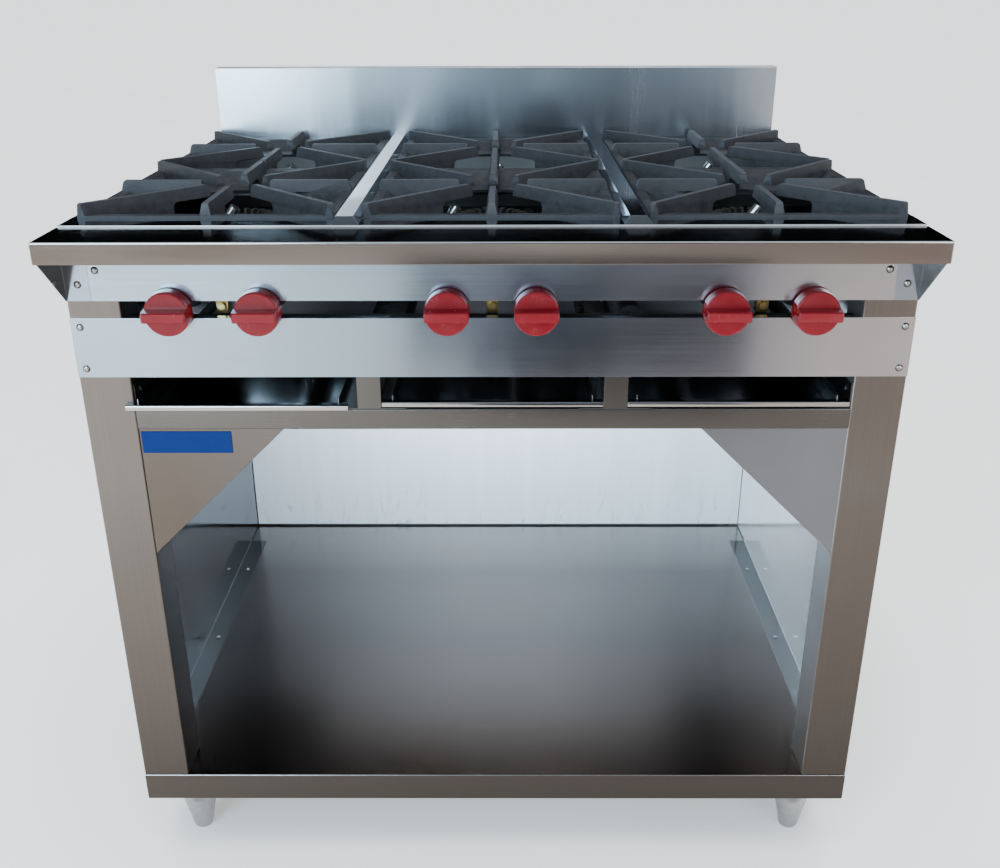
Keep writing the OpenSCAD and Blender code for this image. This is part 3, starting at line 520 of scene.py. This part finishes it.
# Usual width of the softened edges, and the looks with another; rivets and tubes are round already.
EDGE_WIDTH = 0.0004
EDGE = {"grate": 0.0012, "rail": 0.0010, "shelf": 0.0010, "bright": 0.0008, "deck": 0.0006,
        "burner": 0.0006, "knob": 0.0007, "rivet": 0.0, "tube": 0.0, "brass": 0.0003}
EDGE_ANGLE = math.radians(35)
WELD_DISTANCE = 0.00001


def dress(obj, look):
    """Give a CAD node its material and, where it has sharp edges, soften them."""
    obj.data.materials.clear()
    obj.data.materials.append(TREES[look].material)
    width = EDGE.get(look, EDGE_WIDTH)
    if width:
        weld = obj.modifiers.new("weld", "WELD")
        weld.merge_threshold = WELD_DISTANCE
        bevel = obj.modifiers.new("edges", "BEVEL")
        bevel.width = width
        bevel.segments = 2
        bevel.limit_method = "ANGLE"
        bevel.angle_limit = EDGE_ANGLE
        obj.modifiers.new("shade", "WEIGHTED_NORMAL")


for node_name, node_object in NODES.items():
    dress(node_object, LOOK.get(node_name) or FIRST_WORD[node_name.split("_")[0]])


def mesh_object(name, points, faces, tree):
    """A new mesh object in the scene, with the tree's material."""
    mesh = bpy.data.meshes.new(name)
    mesh.from_pydata(points, [], faces)
    mesh.materials.append(tree.material)
    obj = bpy.data.objects.new(name, mesh)
    SCENE.collection.objects.link(obj)
    return obj


def plate(name, x, z, y_back, thick, chamfer, tree, body):
    """A flat plate with a chamfered front edge; x and z are its extents."""
    points = []
    for inset, y in ((0.0, y_back), (0.0, y_back - thick + chamfer), (chamfer, y_back - thick)):
        left, right = x[0] + inset, x[1] - inset
        bottom, top = z[0] + inset, z[1] - inset
        points += [(left, y, bottom), (right, y, bottom), (right, y, top), (left, y, top)]
    faces = [(3, 2, 1, 0), (8, 9, 10, 11)]
    for ring in (0, 4):
        for i in range(4):
            following = (i + 1) % 4
            faces.append((ring + i, ring + following, ring + 4 + following, ring + 4 + i))
    obj = mesh_object(name, points, faces, tree)
    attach(obj, body)


def bead(name, x, y, z, radius, tree, body, swell=0.10, steps=60, sides=6):
    """A hand-laid bead of sealant over an extent of x, which swells a little on its way."""
    points = []
    faces = []
    for step in range(steps + 1):
        place = x[0] + (x[1] - x[0]) * step / steps
        wave = math.sin(step * 1.7) * math.cos(step * 0.6)
        swollen = radius * (1 + swell * wave)
        for side in range(sides):
            angle = 2 * math.pi * side / sides
            points.append((place, y + swollen * math.cos(angle), z + swollen * math.sin(angle)))
    for step in range(steps):
        here = sides * step
        ahead = here + sides
        for side in range(sides):
            following = (side + 1) % sides
            faces.append((here + side, here + following, ahead + following, ahead + side))
    last = sides * steps
    faces += [tuple(range(sides - 1, -1, -1)), tuple(range(last, last + sides))]
    obj = mesh_object(name, points, faces, tree)
    for face in obj.data.polygons:
        face.use_smooth = True
    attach(obj, body)


# Bead in the seam between back panel and shelf, from one rear post's leg to the other's; its near-black
# colour is painted shade in the seam.
BEAD_RADIUS = 0.0024
BEAD_SET_BACK = 0.0008
BEAD_CLEARANCE = 0.0005
bead_end = HALF_WIDTH - REAR_LEG - BEAD_CLEARANCE
bead("shelf_sealant", (-bead_end, bead_end), BACK_LOW.y + BEAD_SET_BACK, (BACK_LOW.z + SHELF_Z) / 2,
     BEAD_RADIUS, TREES["sealant"], "carcass")

# Blank enamelled plate on the face of the left gusset, in the corner beside the post.
BADGE_GAP = 0.002
BADGE_DROP = 0.003
BADGE_WIDTH = 0.112
BADGE_HEIGHT = 0.029
BADGE_THICK = 0.0012
BADGE_CHAMFER = 0.0004
badge_left = GUSSET_LOW.x + BADGE_GAP
badge_top = GUSSET_HIGH.z - BADGE_DROP
plate("blank_badge", (badge_left, badge_left + BADGE_WIDTH), (badge_top - BADGE_HEIGHT, badge_top),
      GUSSET_LOW.y, BADGE_THICK, BADGE_CHAMFER, TREES["badge"], "carcass")

# Studio: a pale floor, mats and cards that show only in reflections, a sky, two windows and a soft sun.
DARK = (0.012, 0.013, 0.016)
FLOOR_REACH = (-200.0, 200.0)


def stage_quad(name, corners, tree):
    """A flat four-cornered piece of the stage."""
    obj = mesh_object(name, corners, [(0, 1, 2, 3)], tree)
    return obj


def level_corners(x, y, z):
    return [(x[0], y[0], z), (x[1], y[0], z), (x[1], y[1], z), (x[0], y[1], z)]


def only_reflected(obj):
    """Hide a piece of the stage from the camera and from diffuse light."""
    obj.visible_camera = False
    obj.visible_diffuse = False
    obj.visible_shadow = False


def glow(tree, colour, strength):
    tree.out("Emission Color", colour)
    tree.out("Emission Strength", strength)


def floor_cloth():
    """Pale matt floor with faint mottling and a little glow."""
    tree = Tree("floor_pale", roughness=0.8, specular=0.15)
    tree.out("Base Color", tree.shades(tree.noise(tree.place(), 1.5), (0.88, 0.88, 0.89), 0.97, 1.03))
    glow(tree, (1, 1, 1), 0.4)
    return tree


def floor_mat(name, x, y, z, left, right):
    """A mat over extents of x and y that shades from its left colour to its right one."""
    tree = Tree(name, roughness=0.8, specular=0.15)
    across = tree.span(tree.along("X"), 0, 1, (-1.0, 1.0))
    tree.out("Base Color", tree.ramp(across, (0, left), (1, right)))
    only_reflected(stage_quad(name, level_corners(x, y, z), tree))


def card(name, x, y, z, colour=(1, 1, 1), strength=0.0):
    """An upright card over extents of x and z; it is dark unless it glows."""
    tree = Tree(name, roughness=0.8, specular=0.0)
    tree.out("Base Color", DARK)
    glow(tree, colour, strength)
    corners = [(x[0], y, z[0]), (x[1], y, z[0]), (x[1], y, z[1]), (x[0], y, z[1])]
    only_reflected(stage_quad(name, corners, tree))


stage_quad("floor", level_corners(FLOOR_REACH, FLOOR_REACH, 0), floor_cloth())

# A warm mat in front of the range, paler to the left, and a dark one just above it.
floor_mat("mat_warm", x=(-3.0, 3.0), y=(-0.385, -7.0), z=0.003,
          left=(0.42, 0.365, 0.325), right=(0.24, 0.205, 0.18))
floor_mat("mat_dark", x=(-0.10, 0.80), y=(-2.2, -4.15), z=0.006, left=DARK, right=DARK)

# Far cards, which the sheets reflect as pale bands.
CARD_Y = -7.05
CARD_TOP = 2.6
card("card_left", (-7.0, -0.5), CARD_Y, (0, CARD_TOP), colour=(0.65, 0.85, 1.0), strength=1.14)
card("card_centre", (-0.5, 0.1), CARD_Y, (0, CARD_TOP), colour=(0.60, 0.82, 1.0), strength=0.58)
card("card_band", (0.1, 0.7), CARD_Y, (0, CARD_TOP), colour=(0.68, 0.86, 1.0), strength=0.80)
card("card_right", (0.7, 7.0), CARD_Y, (0, CARD_TOP), colour=(0.66, 0.84, 1.0), strength=0.36)

# Nearer, dark flags, which darken the middle of what the sheets reflect.
FLAG_Y = -2.6
NEAR_FLAG_Y = -1.3
card("flag_low", (-0.32, 0.84), FLAG_Y, (0, 0.37))
card("flag_high", (-0.10, 0.72), FLAG_Y, (0.95, CARD_TOP))
card("flag_near", (0.03, 0.24), NEAR_FLAG_Y, (0.34, 0.675))


def sky():
    """A sky dim behind, brighter in front and brightest overhead; the camera sees a plain backdrop."""
    world = bpy.data.worlds.new("studio")
    SCENE.world = world
    world.use_nodes = True
    nodes = world.node_tree.nodes
    link = world.node_tree.links.new
    nodes.clear()

    def change(source, over, first, last):
        node = nodes.new("ShaderNodeMapRange")
        node.interpolation_type = "SMOOTHSTEP"
        for key, value in (("From Min", over[0]), ("From Max", over[1]),
                           ("To Min", first), ("To Max", last)):
            node.inputs[key].default_value = value
        link(source, node.inputs["Value"])
        return node.outputs["Result"]

    def background(colour):
        node = nodes.new("ShaderNodeBackground")
        node.inputs["Color"].default_value = (*colour, 1)
        return node

    split = nodes.new("ShaderNodeSeparateXYZ")
    link(nodes.new("ShaderNodeTexCoord").outputs["Generated"], split.inputs[0])
    strongest = nodes.new("ShaderNodeMath")
    strongest.operation = "MAXIMUM"
    link(change(split.outputs["Y"], (-0.6, 0.1), 0.22, 0.006), strongest.inputs[0])
    link(change(split.outputs["Z"], (0.55, 0.95), 0.0, 0.8), strongest.inputs[1])
    dome = background((0.74, 0.88, 1.0))
    link(strongest.outputs[0], dome.inputs["Strength"])
    backdrop = background((1.0, 1.0, 1.0))
    backdrop.inputs["Strength"].default_value = 1.5
    seen_straight = nodes.new("ShaderNodeLightPath").outputs["Is Camera Ray"]
    choose = nodes.new("ShaderNodeMixShader")
    for slot, source in enumerate((seen_straight, dome.outputs[0], backdrop.outputs[0])):
        link(source, choose.inputs[slot])
    link(choose.outputs["Shader"], nodes.new("ShaderNodeOutputWorld").inputs["Surface"])


sky()


def light(name, kind, at, aim, power, colour, size, glossy=True):
    """A light at one place, aimed at another; size is two lengths for an area and an angle for a sun."""
    data = bpy.data.lights.new(name, kind)
    data.energy = power
    data.color = colour
    if kind == "AREA":
        data.shape = "RECTANGLE"
        data.size, data.size_y = size
    else:
        data.angle = size
    obj = bpy.data.objects.new(name, data)
    SCENE.collection.objects.link(obj)
    obj.location = at
    obj.rotation_euler = (Vector(aim) - Vector(at)).to_track_quat("-Z", "Y").to_euler()
    obj.visible_glossy = glossy
    obj.visible_camera = False


WINDOW_Y = -3.2
WINDOW_Z = 1.8
WINDOW_AIM = (0, 0, 0.7)
light("window_left", "AREA", at=(-2.0, WINDOW_Y, WINDOW_Z), aim=WINDOW_AIM, power=150,
      colour=(0.62, 0.84, 1.0), size=(2.4, 2.6))
light("window_right", "AREA", at=(2.4, WINDOW_Y, WINDOW_Z), aim=WINDOW_AIM, power=48,
      colour=(1.0, 0.96, 0.95), size=(1.6, 2.6))
light("sun_soft", "SUN", at=(0, 0, 5), aim=(0, 0.2, 0), power=4.2,
      colour=(1, 1, 1), size=math.radians(60), glossy=False)
# Small fill lights in the store and in the firebox.
light("shelf_glow", "AREA", at=(0, 0, 0.66), aim=(0, 0.42, 0.42), power=13.5,
      colour=(0.72, 0.88, 1.0), size=(0.6, 0.1), glossy=False)
light("burner_glow", "AREA", at=(0, 0.32, 0.86), aim=(0, 0.40, 0.90), power=0.22,
      colour=(0.74, 0.89, 1.0), size=(0.85, 0.02), glossy=False)

# Camera fitted to the photograph: place from the post fronts, angles in degrees, focal length in pixels.
CAMERA_AT = Vector((0.01565, FRONT_Y - 1.2183, 1.1884))
YAW, PITCH, ROLL = (math.radians(angle) for angle in (-0.304, 23.019, 0.172))
FOCAL_PIXELS = 1071.7
IMAGE_WIDTH = 1000
SENSOR_WIDTH = 36.0


def photo_camera():
    """The scene's camera, at the photograph's place and angle."""
    ahead = Vector((math.sin(YAW) * math.cos(PITCH), math.cos(YAW) * math.cos(PITCH), -math.sin(PITCH)))
    level = Vector((math.cos(YAW), -math.sin(YAW), 0))
    down = ahead.cross(level)
    across = math.cos(ROLL) * level + math.sin(ROLL) * down
    below = math.cos(ROLL) * down - math.sin(ROLL) * level
    data = bpy.data.cameras.new("photo_camera")
    data.sensor_fit = "HORIZONTAL"
    data.sensor_width = SENSOR_WIDTH
    data.lens = SENSOR_WIDTH * FOCAL_PIXELS / IMAGE_WIDTH
    camera = bpy.data.objects.new("photo_camera", data)
    SCENE.collection.objects.link(camera)
    turn = Matrix((across, -below, -ahead)).transposed().to_4x4()
    camera.matrix_world = Matrix.Translation(CAMERA_AT) @ turn
    SCENE.camera = camera


photo_camera()
